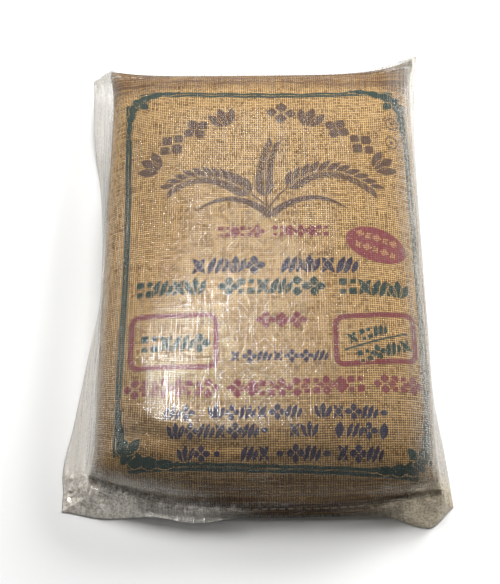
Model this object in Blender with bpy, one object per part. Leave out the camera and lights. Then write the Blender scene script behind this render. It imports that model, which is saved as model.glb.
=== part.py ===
"""A shut jute sack of rice inside a clear plastic bag, lying on its back.

The sack is a pillow of coarse cloth: a flat seam closes each end, the two long
sides are round, and a pointed ear stands at each corner. The clear bag is a wide
flat tube of film. It is sealed at the far end, its mouth lies flat on the floor
at the near end, and its spare width stands off both long sides as a skirt.

Metres, +Z up, +X to the right of the printed face, +Y towards the far end.
The origin is the centre of the footprint, on the surface the bag lies on.
"""

import math

import bpy
import numpy as np
from mathutils import Matrix

# Driving dimensions of the filled sack
SACK_WIDTH = 0.415
SACK_TOP = 0.1155
NEAR_SEAM_Y = -0.300
FAR_SEAM_Y = 0.311
HEM = 0.012
HEM_HALF_THICKNESS = 0.0018
EAR_REACH = 0.0085
END_NARROWING = 0.002

# Heights of the line where the upper and lower cloth meet
SIDE_LINE_HEIGHT = 0.050
NEAR_SEAM_HEIGHT = 0.012
NEAR_EAR_LIFT = 0.020
FAR_SEAM_HEIGHT = 0.046
FAR_RIGHT_EAR_LIFT = 0.016
FAR_LEFT_EAR_LIFT = 0.006

# How far each corner stands behind or before the middle of its seam
NEAR_LEFT_PULL = 0.033
NEAR_RIGHT_PULL = 0.013
FAR_LEFT_PUSH = 0.005
FAR_RIGHT_PUSH = 0.013

# Roundness of the filled form: exponents of the section and of the length
SECTION_ACROSS = 3.7
SECTION_HEIGHT = 2.25
LENGTH_ALONG = 6.0
LENGTH_HEIGHT = 2.0
FLOOR_PRESS = 0.012

# Relief of the filled cloth
LUMP_DEPTH = 0.0024
PUCKER_DEPTH = 0.0050
PUCKERS = 9
PUCKER_REACH = 0.30

# The clear bag: its wall is thicker than real film, so that it is a solid
FILM_WALL = 0.0009
FILM_GAP = 0.0006
FLOOR_SNAP = 0.0002
SEAM_HALF_GAP = 0.0005
SEALED_HEIGHT = 0.030
SEALED_RIGHT_LIFT = 0.022

# How taut the film is over and under the sack, in rounds of smoothing
UPPER_STRETCH = 30
LOWER_STRETCH = 400

# Outline of the clear bag seen from above: (y, x) along the two long sides,
# (x, y) along the mouth and along the sealed end
LEFT_SIDE = (
    (-0.305, -0.246), (-0.255, -0.253), (-0.190, -0.243), (-0.095, -0.230),
    (-0.010, -0.219), (0.060, -0.220), (0.150, -0.227), (0.220, -0.238), (0.316, -0.243),
)
RIGHT_SIDE = (
    (-0.300, 0.233), (-0.230, 0.227), (-0.160, 0.219), (-0.060, 0.2175),
    (0.060, 0.218), (0.180, 0.219), (0.250, 0.219), (0.335, 0.224),
)
MOUTH = (
    (-0.246, -0.302), (-0.190, -0.311), (-0.140, -0.309), (-0.085, -0.317),
    (-0.030, -0.310), (0.060, -0.309), (0.150, -0.311), (0.200, -0.324), (0.233, -0.298),
)
SEALED_END = (
    (-0.243, 0.317), (-0.150, 0.320), (-0.050, 0.325), (0.060, 0.329),
    (0.150, 0.331), (0.224, 0.344),
)

# Height of the skirts' free edges along the bag, as (y, height): they lie on the floor,
# and rise with the sealed end
SKIRT_TIP = ((-0.320, FILM_WALL), (0.150, FILM_WALL), (0.330, 0.032))

# Finish
JUTE_COLOUR = (0.50, 0.33, 0.16)
FILM_COLOUR = (0.85, 0.86, 0.84)
FILM_ALPHA = 0.3

# Faces across half of the cloth's girth, along its length, and on the film's skirts
ACROSS = 28
ALONG = 32
SKIRT_COLUMNS = 3
MOUTH_ROWS = 3
SEALED_ROWS = 2
ARC_SAMPLES = 4001


def bend(points, at):
    """Smooth curve through a few (position, value) points: between two of them it is a
    cubic, whose slope at each point is the mean of both sides, and level at a peak."""
    xs, ys = np.array(points, float).T
    step = np.diff(ys) / np.diff(xs)
    slope = np.concatenate([[step[0]], (step[1:] + step[:-1]) / 2, [step[-1]]])
    flat = np.concatenate([[False], step[1:] * step[:-1] <= 0, [False]])
    slope[flat] = 0.0
    at = np.clip(at, xs[0], xs[-1])
    k = np.clip(np.searchsorted(xs, at) - 1, 0, len(xs) - 2)
    width = xs[k + 1] - xs[k]
    t = (at - xs[k]) / width
    return (
        ys[k] * (1 + 2 * t) * (1 - t) ** 2
        + ys[k + 1] * t * t * (3 - 2 * t)
        + slope[k] * width * t * (1 - t) ** 2
        - slope[k + 1] * width * t * t * (1 - t)
    )


def rounded(position, along, height):
    """Height of a superellipse of unit size at a position from -1 to 1."""
    return np.clip(1 - np.abs(position) ** along, 0, None) ** (1 / height)


def even_stations(along, height, half_span, rise, count):
    """Positions from -1 to 1 that lie evenly along the arc of a superellipse."""
    turn = np.linspace(0, math.pi, ARC_SAMPLES)
    x = -np.cos(turn)
    arc = np.hypot(np.diff(x) * half_span, np.diff(rounded(x, along, height)) * rise)
    length = np.concatenate([[0], np.cumsum(arc)])
    return np.interp(np.linspace(0, length[-1], count + 1), length, x)


def side_share(across):
    """(left share, right share) of a position across the sack, each 0 to 1."""
    return np.clip(-across, 0, 1), np.clip(across, 0, 1)


def seam_lines(across):
    """Y of the near and far seams at each position across the sack."""
    left, right = side_share(across)
    near = NEAR_SEAM_Y + NEAR_LEFT_PULL * left**3 + NEAR_RIGHT_PULL * right**3
    far = FAR_SEAM_Y + FAR_LEFT_PUSH * left**4 + FAR_RIGHT_PUSH * right**4
    return near, far


def meeting_height(across, along):
    """Height of the line where the upper and lower cloth meet: mid height along the
    sides, close to the floor at the near seam, and lifted at the ears."""
    left, right = side_share(across)
    far = FAR_SEAM_HEIGHT + FAR_RIGHT_EAR_LIFT * right**6 + FAR_LEFT_EAR_LIFT * left**6
    near = NEAR_SEAM_HEIGHT + NEAR_EAR_LIFT * np.abs(across) ** 3
    to_far = np.clip(along, 0, 1) ** 4
    to_near = np.clip(-along, 0, 1) ** 4
    return SIDE_LINE_HEIGHT + (far - SIDE_LINE_HEIGHT) * to_far + (near - SIDE_LINE_HEIGHT) * to_near


def lumps(across, along):
    """Slow swell of the packed grain under the cloth, from -1 to 1."""
    return (
        0.45 * np.sin(4.1 * across + 2.3 * along + 0.6)
        + 0.35 * np.sin(6.7 * along - 2.9 * across + 1.9)
        + 0.20 * np.sin(8.3 * across + 5.1 * along + 4.0)
    )


def puckers(across, along):
    """Depth, 0 to 1, of the gathers that run in from both end seams."""
    reach = np.clip((np.abs(along) - (1 - PUCKER_REACH)) / PUCKER_REACH, 0, 1)
    wave = 0.5 - 0.5 * np.cos(PUCKERS * math.pi * across + 1.3 * np.sin(5 * across) + along)
    return wave**2 * reach * (1 - reach**6) * (1 - np.abs(across) ** 6)


def cloth_sheets(puckered):
    """Grids of points of the upper and lower cloth, rows from the near hem to the far
    hem and columns from left to right. The outer columns are shared by both."""
    across = even_stations(SECTION_ACROSS, SECTION_HEIGHT, SACK_WIDTH / 2, SACK_TOP / 2, ACROSS)
    body = even_stations(LENGTH_ALONG, LENGTH_HEIGHT, FAR_SEAM_Y - HEM, SACK_TOP / 2, ALONG - 2)
    along = np.concatenate([[-1], body, [1]])
    u, v = np.meshgrid(across, along)
    near, far = seam_lines(u)
    y = np.where(v < 0, -v * (near + HEM), v * (far - HEM))
    y[0], y[-1] = near[0], far[-1]
    x = u * (SACK_WIDTH / 2 + EAR_REACH * np.abs(v) ** 10 - END_NARROWING * v**4)
    middle = meeting_height(u, v)
    swell = rounded(v, LENGTH_ALONG, LENGTH_HEIGHT) * rounded(u, SECTION_ACROSS, SECTION_HEIGHT)
    floor = FILM_WALL + FILM_GAP
    top = SACK_TOP + LUMP_DEPTH * lumps(u, v)
    inner = np.zeros_like(u)
    inner[:, 1:-1] = HEM_HALF_THICKNESS
    upper = middle + inner + (top - middle - inner) * swell
    if puckered:
        upper = upper - PUCKER_DEPTH * puckers(u, v) * swell**0.5
    lower = middle - inner - (middle - inner - floor + FLOOR_PRESS) * swell
    lower = np.maximum(lower, floor)
    return np.stack([x, y, upper], -1), np.stack([x, y, lower], -1)


def grown(upper, lower, distance):
    """Both sheets moved outwards by a distance along their normals. The shared side
    points move sideways instead, and the end rows move endways."""
    moved = []
    for sheet, sign in ((upper, 1), (lower, -1)):
        normal = np.cross(np.gradient(sheet, axis=1), np.gradient(sheet, axis=0)) * sign
        normal /= np.linalg.norm(normal, axis=-1, keepdims=True)
        sheet = sheet + normal * distance
        sheet[:, [0, -1]] = upper[:, [0, -1]]
        sheet[:, 0, 0] -= distance
        sheet[:, -1, 0] += distance
        sheet[0, :, 1] = upper[0, :, 1] - distance
        sheet[-1, :, 1] = upper[-1, :, 1] + distance
        moved.append(sheet)
    return moved


def stretched(sheet, outwards, rounds):
    """Film stretched over the cloth between its four fixed edges: round by round, each
    free point goes to the mean height of its four neighbours, but never into the cloth.
    outwards is 1 for the upper film and -1 for the lower."""
    cloth = outwards * sheet[1:-1, 1:-1, 2]
    height = outwards * sheet[..., 2]
    for _ in range(rounds):
        mean = (height[:-2, 1:-1] + height[2:, 1:-1] + height[1:-1, :-2] + height[1:-1, 2:]) / 4
        height[1:-1, 1:-1] = np.maximum(mean, cloth)
    result = sheet.copy()
    result[..., 2] = outwards * height
    return result


def loop_of(upper_row, lower_row):
    """One closed section: the upper points from left to right, then the lower ones back,
    without repeating the two shared side points."""
    return np.concatenate([upper_row, lower_row[-2:0:-1]])


def band(start_a, start_b, count):
    """Triangles between two closed loops of as many points. Every sheet splits its
    squares along the same diagonal, so that nested sheets stay clear of each other."""
    k = np.arange(count)
    after = (k + 1) % count
    return np.concatenate([
        np.stack([start_a + k, start_a + after, start_b + k], -1),
        np.stack([start_a + after, start_b + after, start_b + k], -1),
    ])


def end_cap(start, count, columns):
    """Triangles that close a section, zipped from its upper to its lower points."""
    top = start + np.arange(columns + 1)
    bottom = start + (count - np.arange(columns + 1)) % count
    bottom[columns] = top[columns]
    faces = []
    for k in range(columns):
        if k > 0:
            faces.append((top[k], bottom[k], top[k + 1]))
        if k < columns - 1:
            faces.append((top[k + 1], bottom[k], bottom[k + 1]))
    return np.array(faces)


def add_node(name, points, faces, colour, roughness, alpha=1.0):
    """One closed mesh object with a plain finish, its faces turned outwards."""
    mesh = bpy.data.meshes.new(name)
    mesh.from_pydata(points.tolist(), [], faces.tolist())
    material = bpy.data.materials.new(name)
    material.use_nodes = True
    shader = material.node_tree.nodes["Principled BSDF"]
    shader.inputs["Base Color"].default_value = (*colour, 1.0)
    shader.inputs["Roughness"].default_value = roughness
    shader.inputs["Alpha"].default_value = alpha
    mesh.materials.append(material)
    mesh.shade_smooth()
    mesh.set_sharp_from_angle(angle=math.radians(50))
    obj = bpy.data.objects.new(name, mesh)
    bpy.context.scene.collection.objects.link(obj)
    return obj


def make_sack():
    """The filled jute sack: loops of points from the near hem to the far hem."""
    upper, lower = cloth_sheets(puckered=True)
    loops = [loop_of(a, b) for a, b in zip(upper, lower)]
    count = len(loops[0])
    faces = [band(k * count, (k + 1) * count, count) for k in range(len(loops) - 1)]
    faces.append(end_cap(0, count, ACROSS))
    faces.append(end_cap((len(loops) - 1) * count, count, ACROSS)[:, ::-1])
    return add_node("jute_sack", np.concatenate(loops), np.concatenate(faces), JUTE_COLOUR, 0.9)


def film_lining(upper, lower):
    """Inside of the film as an upper and a lower sheet. Its middle is the cloth grown by
    the gap. Columns run on to the two skirts, and rows to the mouth and the sealed end."""
    top, bottom = grown(upper, lower, FILM_GAP)
    top = stretched(with_ends(with_skirts(top), SEAM_HALF_GAP), 1, UPPER_STRETCH)
    bottom = stretched(with_ends(with_skirts(bottom), -SEAM_HALF_GAP), -1, LOWER_STRETCH)
    bottom[..., 2] = np.maximum(bottom[..., 2], FILM_WALL)
    top[:, [0, -1]] = bottom[:, [0, -1]] = (top[:, [0, -1]] + bottom[:, [0, -1]]) / 2
    return top, bottom


def with_skirts(sheet):
    """The sheet with columns added on both sides, out to the free edges of the skirts."""
    share = np.arange(1, SKIRT_COLUMNS + 1)[None, :, None] / SKIRT_COLUMNS
    parts = []
    for side, edge in ((sheet[:, :1], LEFT_SIDE), (sheet[:, -1:], RIGHT_SIDE)):
        tip = side.copy()
        tip[..., 0] = bend(edge, side[..., 1])
        tip[..., 2] = bend(SKIRT_TIP, side[..., 1])
        parts.append(side + (tip - side) * share)
    return np.concatenate([parts[0][:, ::-1], sheet, parts[1]], axis=1)


def with_ends(sheet, half_gap):
    """The sheet with rows added at both ends: down to the lip of the mouth, which lies on
    the floor, and out to the sealed end, whose right corner stands up."""
    near, far = sheet[:1], sheet[-1:]
    lip, seal = near.copy(), far.copy()
    lip[..., 1] = bend(MOUTH, near[..., 0])
    lip[..., 2] = FILM_WALL + SEAM_HALF_GAP + half_gap
    seal[..., 1] = bend(SEALED_END, far[..., 0])
    lift = SEALED_RIGHT_LIFT * np.clip(2 * far[..., 0] / SACK_WIDTH, 0, 1) ** 4
    seal[..., 2] = SEALED_HEIGHT + lift + half_gap
    down = np.arange(MOUTH_ROWS, 0, -1)[:, None, None] / MOUTH_ROWS
    out = np.arange(1, SEALED_ROWS + 1)[:, None, None] / SEALED_ROWS
    return np.concatenate([near + (lip - near) * down, sheet, far + (seal - far) * out])


def make_clear_bag():
    """The film as one thin-walled solid: its outer skin runs from the lip of the mouth to
    the sealed end, and its lining runs back from there to the lip. What all but touches
    the floor is made quite flat, as the bag rests on it."""
    lining = film_lining(*cloth_sheets(puckered=False))
    skin = grown(*lining, FILM_WALL)
    skin[1][skin[1][..., 2] < FLOOR_SNAP, 2] = 0.0
    columns = ACROSS + 2 * SKIRT_COLUMNS
    loops = [loop_of(a, b) for sheets in (skin, lining) for a, b in zip(*sheets)]
    count = len(loops[0])
    rows = len(loops) // 2
    faces = [band(k * count, (k + 1) * count, count) for k in range(rows - 1)]
    faces += [band(k * count, (k + 1) * count, count)[:, ::-1] for k in range(rows, 2 * rows - 1)]
    faces.append(end_cap((rows - 1) * count, count, columns)[:, ::-1])
    faces.append(end_cap((2 * rows - 1) * count, count, columns))
    faces.append(band(0, rows * count, count)[:, ::-1])
    return add_node("clear_bag", np.concatenate(loops), np.concatenate(faces), FILM_COLOUR, 0.2, FILM_ALPHA)


def centre_on_footprint(objects):
    """Moves every mesh by one shift, so that the origin is under the middle of the box."""
    corners = np.array([v.co for obj in objects for v in obj.data.vertices])
    middle = (corners.min(0) + corners.max(0)) / 2
    for obj in objects:
        obj.data.transform(Matrix.Translation((-middle[0], -middle[1], 0)))


def main():
    for old in list(bpy.data.objects):
        bpy.data.objects.remove(old)
    centre_on_footprint([make_sack(), make_clear_bag()])


main()
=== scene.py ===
# %% [markdown]
# # A jute sack of rice in a clear bag
#
# The real thing is a pillow of coarse jute cloth, filled with rice and sewn shut at both
# ends. It lies on its back, printed face up, in a clear plastic bag that is wider than it.
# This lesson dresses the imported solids: the frame gives the places and sizes, and each
# piece is a surface worked out with numpy that stands for one of the solids.

# %% Load the frame
import math

import bpy
import numpy as np
from mathutils import Matrix, Vector


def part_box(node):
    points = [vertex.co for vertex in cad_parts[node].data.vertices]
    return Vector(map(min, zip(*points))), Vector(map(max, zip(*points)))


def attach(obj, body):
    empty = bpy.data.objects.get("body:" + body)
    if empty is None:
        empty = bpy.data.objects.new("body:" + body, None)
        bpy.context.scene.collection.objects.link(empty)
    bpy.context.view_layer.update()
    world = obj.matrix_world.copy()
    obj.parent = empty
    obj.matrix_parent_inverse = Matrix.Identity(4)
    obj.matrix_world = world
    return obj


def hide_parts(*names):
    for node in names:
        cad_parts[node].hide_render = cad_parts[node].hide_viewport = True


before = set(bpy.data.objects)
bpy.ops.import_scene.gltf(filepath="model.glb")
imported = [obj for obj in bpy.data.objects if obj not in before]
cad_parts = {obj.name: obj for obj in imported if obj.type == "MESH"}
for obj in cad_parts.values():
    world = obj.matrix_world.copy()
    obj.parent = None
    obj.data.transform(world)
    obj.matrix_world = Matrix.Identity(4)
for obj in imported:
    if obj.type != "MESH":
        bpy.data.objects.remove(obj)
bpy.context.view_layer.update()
SACK_LOW, SACK_HIGH = (np.array(corner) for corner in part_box("jute_sack"))
BAG_LOW, BAG_HIGH = (np.array(corner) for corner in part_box("clear_bag"))
print("sack", (SACK_HIGH - SACK_LOW).round(4), "clear bag", (BAG_HIGH - BAG_LOW).round(4))

# %% [markdown]
# ## The camera
#
# The photo was taken from the foot of the sack, looking down steeply. A camera is a point
# on a sphere round a target, so it takes an azimuth, an elevation and a distance, and then
# a small roll about its own line of sight. The focal length is kept in pixels of the
# 500 by 584 frame, because that is how it was fitted, and turned into millimetres here.

# %% Camera
SACK_CENTRE = Vector(((SACK_LOW[0] + SACK_HIGH[0]) / 2, SACK_LOW[1] + 0.300, 0.0))
TARGET = SACK_CENTRE + Vector((-0.0166, -0.0266, 0.05))
AZIMUTH, ELEVATION, ROLL = (math.radians(angle) for angle in (1.548, 65.0, -1.866))
DISTANCE = 1.4168
FOCAL_PIXELS = 1090.3
FRAME_HEIGHT = 584
SENSOR = 36.0

camera_data = bpy.data.cameras.new("camera")
camera_data.sensor_width = SENSOR
camera_data.lens = FOCAL_PIXELS * SENSOR / FRAME_HEIGHT
camera = bpy.data.objects.new("camera", camera_data)
back = Vector((
    math.sin(AZIMUTH) * math.cos(ELEVATION),
    -math.cos(AZIMUTH) * math.cos(ELEVATION),
    math.sin(ELEVATION),
))
camera.matrix_world = (
    Matrix.Translation(TARGET + back * DISTANCE)
    @ (-back).to_track_quat("-Z", "Y").to_matrix().to_4x4()
    @ Matrix.Rotation(ROLL, 4, "Z")
)
bpy.context.scene.collection.objects.link(camera)
bpy.context.scene.camera = camera
bpy.context.scene.view_settings.view_transform = "Standard"
print("lens", round(camera_data.lens, 1), "mm, camera at", camera.location)

# %% [markdown]
# ## The form of the filled sack
#
# Packed grain pushes cloth into a pillow: a flat top, round sides, and flat seams at both
# ends. A superellipse has just that section. The cloth is a function of two parameters,
# across and along, both from -1 to 1, so the same function serves for the cloth's own mesh,
# for the print that lies on it, and for the film above it. Values of along from 1 to 2 are
# the flat hems outside the end seams.

# %% Sizes of the sack
SACK_WIDTH = 0.415
SACK_TOP = 0.1155
NEAR_SEAM_Y, FAR_SEAM_Y = -0.3090, 0.3145
HEM = 0.012
HEM_EDGE = 2.0
HEM_HALF_THICKNESS = 0.0018
EAR_REACH, END_NARROWING = 0.0085, 0.002
SIDE_LINE_HEIGHT, NEAR_SEAM_HEIGHT, FAR_SEAM_HEIGHT = 0.050, 0.010, 0.049
NEAR_EAR_LIFT, FAR_LEFT_EAR_LIFT, FAR_RIGHT_EAR_LIFT = 0.020, 0.006, 0.016
NEAR_LEFT_PULL, NEAR_RIGHT_PULL = 0.033, 0.013
FAR_LEFT_PUSH, FAR_RIGHT_PUSH = 0.005, 0.013
SECTION_ACROSS, SECTION_HEIGHT = 3.7, 2.25
LENGTH_ALONG, LENGTH_HEIGHT = 6.0, 2.0
FLOOR_PRESS = 0.012
FLOOR_GAP = 0.0015
LUMP_DEPTH, PUCKER_DEPTH = 0.0024, 0.0050
PUCKERS, PUCKER_REACH = 9, 0.30


def rounded(position, along, height):
    """Superellipse: (1 - |position|^along)^(1/height), which is 1 in the middle."""
    return np.clip(1 - np.abs(position) ** along, 0, None) ** (1 / height)


def seam_lines(across):
    """Y of the near and far seams: straight in the middle, with the corners pulled in or
    pushed out by a share that grows as the cube or fourth power of the way across."""
    left, right = np.clip(-across, 0, 1), np.clip(across, 0, 1)
    near = NEAR_SEAM_Y + NEAR_LEFT_PULL * left**3 + NEAR_RIGHT_PULL * right**3
    far = FAR_SEAM_Y + FAR_LEFT_PUSH * left**4 + FAR_RIGHT_PUSH * right**4
    return near, far


def meeting_height(across, along):
    """Height of the line where upper and lower cloth meet: mid height along the sides,
    eased to each seam's own height with the fourth power of the way along."""
    left, right = np.clip(-across, 0, 1), np.clip(across, 0, 1)
    far = FAR_SEAM_HEIGHT + FAR_RIGHT_EAR_LIFT * right**6 + FAR_LEFT_EAR_LIFT * left**6
    near = NEAR_SEAM_HEIGHT + NEAR_EAR_LIFT * np.abs(across) ** 3
    to_far, to_near = np.clip(along, 0, 1) ** 4, np.clip(-along, 0, 1) ** 4
    return SIDE_LINE_HEIGHT + (far - SIDE_LINE_HEIGHT) * to_far + (near - SIDE_LINE_HEIGHT) * to_near


def lumps(across, along):
    """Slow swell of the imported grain, from -1 to 1: three sine waves of unlike slant."""
    return (
        0.45 * np.sin(4.1 * across + 2.3 * along + 0.6)
        + 0.35 * np.sin(6.7 * along - 2.9 * across + 1.9)
        + 0.20 * np.sin(8.3 * across + 5.1 * along + 4.0)
    )


def puckers(across, along):
    """Depth, 0 to 1, of the gathers that run in from both seams: a squared cosine wave
    across the sack that fades out before its middle, its sides and the seam itself."""
    reach = np.clip((np.abs(along) - (1 - PUCKER_REACH)) / PUCKER_REACH, 0, 1)
    wave = 0.5 - 0.5 * np.cos(PUCKERS * math.pi * across + 1.3 * np.sin(5 * across) + along)
    return wave**2 * reach * (1 - reach**6) * (1 - np.abs(across) ** 6)


# %% [markdown]
# ## Creases in the cloth
#
# Where the near end hangs over, the cloth has folded into a few long dents. Each one is a
# straight dent between two points of the plan: its depth falls off as a bell curve away
# from the line, and it fades towards both ends.

# %% Creases
CREASES = (
    # from (x, y), to (x, y), depth, half width
    ((-0.205, -0.226), (-0.085, -0.240), 0.0042, 0.0080),
    ((-0.125, -0.247), (0.010, -0.250), 0.0028, 0.0075),
    ((-0.020, -0.268), (0.120, -0.262), 0.0028, 0.0080),
    ((-0.195, 0.258), (-0.120, 0.278), 0.0030, 0.0080),
    ((-0.185, 0.290), (-0.150, 0.235), 0.0024, 0.0080),
)


def crease_depth(x, y):
    """Sum over the creases of depth * exp(-(distance / half width)^2) * fade at the ends."""
    total = np.zeros_like(x)
    for (ax, ay), (bx, by), depth, half_width in CREASES:
        length = math.hypot(bx - ax, by - ay)
        dx, dy = (bx - ax) / length, (by - ay) / length
        share = ((x - ax) * dx + (y - ay) * dy) / length
        away = (y - ay) * dx - (x - ax) * dy + 0.002 * np.sin(9 * share)
        fade = np.clip(1 - np.abs(2 * share - 1) ** 3, 0, 1)
        total += depth * np.exp(-((away / half_width) ** 2)) * fade
    return total


def cloth(across, along, side):
    """Point of the cloth at (across, along). side is 1 for the printed upper cloth and -1
    for the lower. Height is the meeting line, half a hem, and then the rise to the top or
    the drop to the floor times both superellipses."""
    body = np.clip(along, -1, 1)
    hem = np.abs(along) - np.abs(body)
    near, far = seam_lines(across)
    y = np.where(body < 0, -body * (near + HEM) - HEM * hem, body * (far - HEM) + HEM * hem)
    x = across * (SACK_WIDTH / 2 + EAR_REACH * np.abs(body) ** 10 - END_NARROWING * body**4)
    half_hem = HEM_HALF_THICKNESS * (1 - np.abs(across) ** 60)
    middle = meeting_height(across, body)
    swell = rounded(body, LENGTH_ALONG, LENGTH_HEIGHT) * rounded(across, SECTION_ACROSS, SECTION_HEIGHT)
    if side > 0:
        rise = SACK_TOP + LUMP_DEPTH * lumps(across, body) - middle - half_hem
        dents = PUCKER_DEPTH * puckers(across, body) + crease_depth(x, y)
        z = middle + half_hem + rise * swell - dents * swell**0.5
    else:
        drop = middle - half_hem - FLOOR_GAP + FLOOR_PRESS
        z = np.maximum(middle - half_hem - drop * swell, FLOOR_GAP)
    return np.stack([x, y, z], -1)


# %% [markdown]
# ## Even threads
#
# A grid of equal steps in the parameters would have long faces on the flat top and short
# ones at the round sides, and the threads of the cloth would be as uneven. So the columns
# and rows are set at equal steps of arc length, and the same lengths, in metres, are the
# cloth's own thread coordinates, which go into its UV map.

# %% Arc length
ARC_SAMPLES = 4001
CLOTH_COLUMNS, CLOTH_ROWS, HEM_ROWS = 130, 196, 3

steps = np.linspace(-1, 1, ARC_SAMPLES)


def running_length(points):
    """Length along a line of points, from its start to each of them."""
    return np.concatenate([[0], np.cumsum(np.linalg.norm(np.diff(points, axis=0), axis=1))])


def arc_table(points):
    """Running length along a line of points, counted from its middle."""
    length = running_length(points)
    return length - length[len(length) // 2]


ARC_ACROSS = arc_table(cloth(steps, np.zeros_like(steps), 1))
ARC_ALONG = arc_table(cloth(np.zeros_like(steps), steps, 1))
HALF_GIRTH = ARC_ACROSS[-1] - ARC_ACROSS[0]


def threads(across, along):
    """Thread coordinates in metres of the upper cloth at (across, along)."""
    beyond = np.sign(along) * np.clip(np.abs(along) - 1, 0, 1) * HEM
    return np.interp(across, steps, ARC_ACROSS), np.interp(along, steps, ARC_ALONG) + beyond


def even_stations(table, count):
    """Parameters from -1 to 1 that cut an arc table into a count of equal lengths."""
    return np.interp(np.linspace(table[0], table[-1], count + 1), table, steps)


across_stations = even_stations(ARC_ACROSS, CLOTH_COLUMNS)
body_stations = even_stations(ARC_ALONG, CLOTH_ROWS)
hem_stations = 1 + np.arange(1, HEM_ROWS + 1) / HEM_ROWS
along_stations = np.concatenate([-hem_stations[::-1], body_stations, hem_stations])
CLOTH_LENGTH = ARC_ALONG[-1] - ARC_ALONG[0]
print("half girth", round(HALF_GIRTH, 4), "m, length of cloth", round(CLOTH_LENGTH, 4), "m")

# %% [markdown]
# ## A closed skin from two sheets
#
# Both the sack and the clear bag are an upper and a lower sheet that share their side
# points. Row by row the two sheets make a closed loop, and the loops are joined by squares.
# Each end is then zipped shut by strips from its upper to its lower points. All of it is
# worked out about the sack's own middle and moved to its place in the frame at the end.

# %% Mesh helpers
def object_from_faces(name, points, faces, places=None, **values):
    """Mesh object of triangles and quads. Places are thread coordinates and values are
    numbers such as the haze of the film, both given per point."""
    mesh = bpy.data.meshes.new(name)
    mesh.from_pydata((points + np.array(SACK_CENTRE)).tolist(), [], faces)
    corners = np.zeros(len(mesh.loops), np.int32)
    mesh.loops.foreach_get("vertex_index", corners)
    if places is not None:
        layer = mesh.uv_layers.new(name="threads")
        layer.data.foreach_set("uv", places[corners].astype(np.float32).ravel())
    for key, value in values.items():
        attribute = mesh.attributes.new(key, "FLOAT", "POINT")
        attribute.data.foreach_set("value", value.astype(np.float32).ravel())
    mesh.shade_smooth()
    obj = bpy.data.objects.new(name, mesh)
    bpy.context.scene.collection.objects.link(obj)
    return obj


def grid_faces(rows, columns):
    """Squares of a grid of points, numbered row by row, that face up where x runs along
    the columns and y up the rows."""
    row, column = np.meshgrid(np.arange(rows - 1), np.arange(columns - 1), indexing="ij")
    corner = row * columns + column
    return np.stack([corner, corner + 1, corner + columns + 1, corner + columns], -1).reshape(-1, 4)


def zipped_end(start, count, columns, flip):
    """Squares from the upper points of a loop to the lower ones, with a triangle at each
    side, where the two sheets meet."""
    upper = start + np.arange(columns + 1)
    lower = start + (count - np.arange(columns + 1)) % count
    quads = np.stack([upper[1:-2], lower[1:-2], lower[2:-1], upper[2:-1]], -1).tolist()
    sides = [[upper[0], lower[1], upper[1]], [upper[-2], lower[-2], upper[-1]]]
    faces = quads + [[int(k) for k in side] for side in sides]
    return [face[::-1] for face in faces] if flip else faces


def closed_skin(name, upper, lower, places, **values):
    """Object from two grids of points that share their outer columns. Places and values
    come as pairs: one grid for the upper sheet and one for the lower."""
    rows, columns = upper.shape[0], upper.shape[1] - 1
    count = 2 * columns

    def looped(pair):
        """Upper points of each row and then its lower ones backwards, row after row."""
        both = np.concatenate([pair[0], pair[1][:, -2:0:-1]], axis=1)
        return both.reshape(rows * count, *both.shape[2:])

    row, k = np.meshgrid(np.arange(rows - 1), np.arange(count), indexing="ij")
    after = (k + 1) % count
    faces = np.stack([row * count + k, row * count + after,
                      (row + 1) * count + after, (row + 1) * count + k], -1)
    faces = faces.reshape(-1, 4).tolist()
    faces += zipped_end(0, count, columns, False)
    faces += zipped_end((rows - 1) * count, count, columns, True)
    return object_from_faces(
        name, looped((upper, lower)), faces, looped(places),
        **{key: looped(pair) for key, pair in values.items()},
    )


# %% [markdown]
# ## The sack's own mesh
#
# The upper cloth takes its threads straight from the arc lengths. The lower cloth mirrors
# them, so that they meet along the sides, which is where the real cloth is folded round.
# Each point also carries a painted shade: a share of brown that stands for shade on the far
# end, the near end, the near half of the face and the lower cloth.

# %% Sack
# Painted shade: how much brown darkens the far end, the near end, the near half of the face and the
# lower cloth.
FAR_END_SHADE, NEAR_END_SHADE, NEAR_FACE_SHADE, UNDERSIDE_SHADE = 1.30, 1.15, 0.45, 0.40


def region(value, low, high):
    """0 below low, 1 above high, smooth between. High may be the smaller one."""
    t = np.clip((value - low) / (high - low), 0, 1)
    return t * t * (3 - 2 * t)


grid_across, grid_along = np.meshgrid(across_stations, along_stations)
cloth_upper = cloth(grid_across, grid_along, 1)
cloth_lower = cloth(grid_across, grid_along, -1)
thread_grid = np.stack(threads(grid_across, grid_along), -1)
cloth_y = cloth_upper[..., 1]
# Painted shade of each point: the largest of its shares at the ends and on the near face.
soiled_upper = np.maximum.reduce([
    FAR_END_SHADE * region(cloth_y, 0.246, 0.272),
    NEAR_END_SHADE * region(-cloth_y, 0.262, 0.290),
    NEAR_FACE_SHADE * region(-cloth_y, 0.040, 0.250),
])
soiled_lower = np.full_like(soiled_upper, UNDERSIDE_SHADE)
sack = closed_skin("jute_sack_cloth", cloth_upper, cloth_lower, (thread_grid, thread_grid),
                   soiled=(soiled_upper, soiled_lower))
print("sack cloth", len(sack.data.polygons), "faces")

# %% [markdown]
# ## Shader shorthand
#
# A material is a small calculation. Written out node by node it is long, so this class
# adds a node, sets or links its inputs, and gives back its output in one line.

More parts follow.
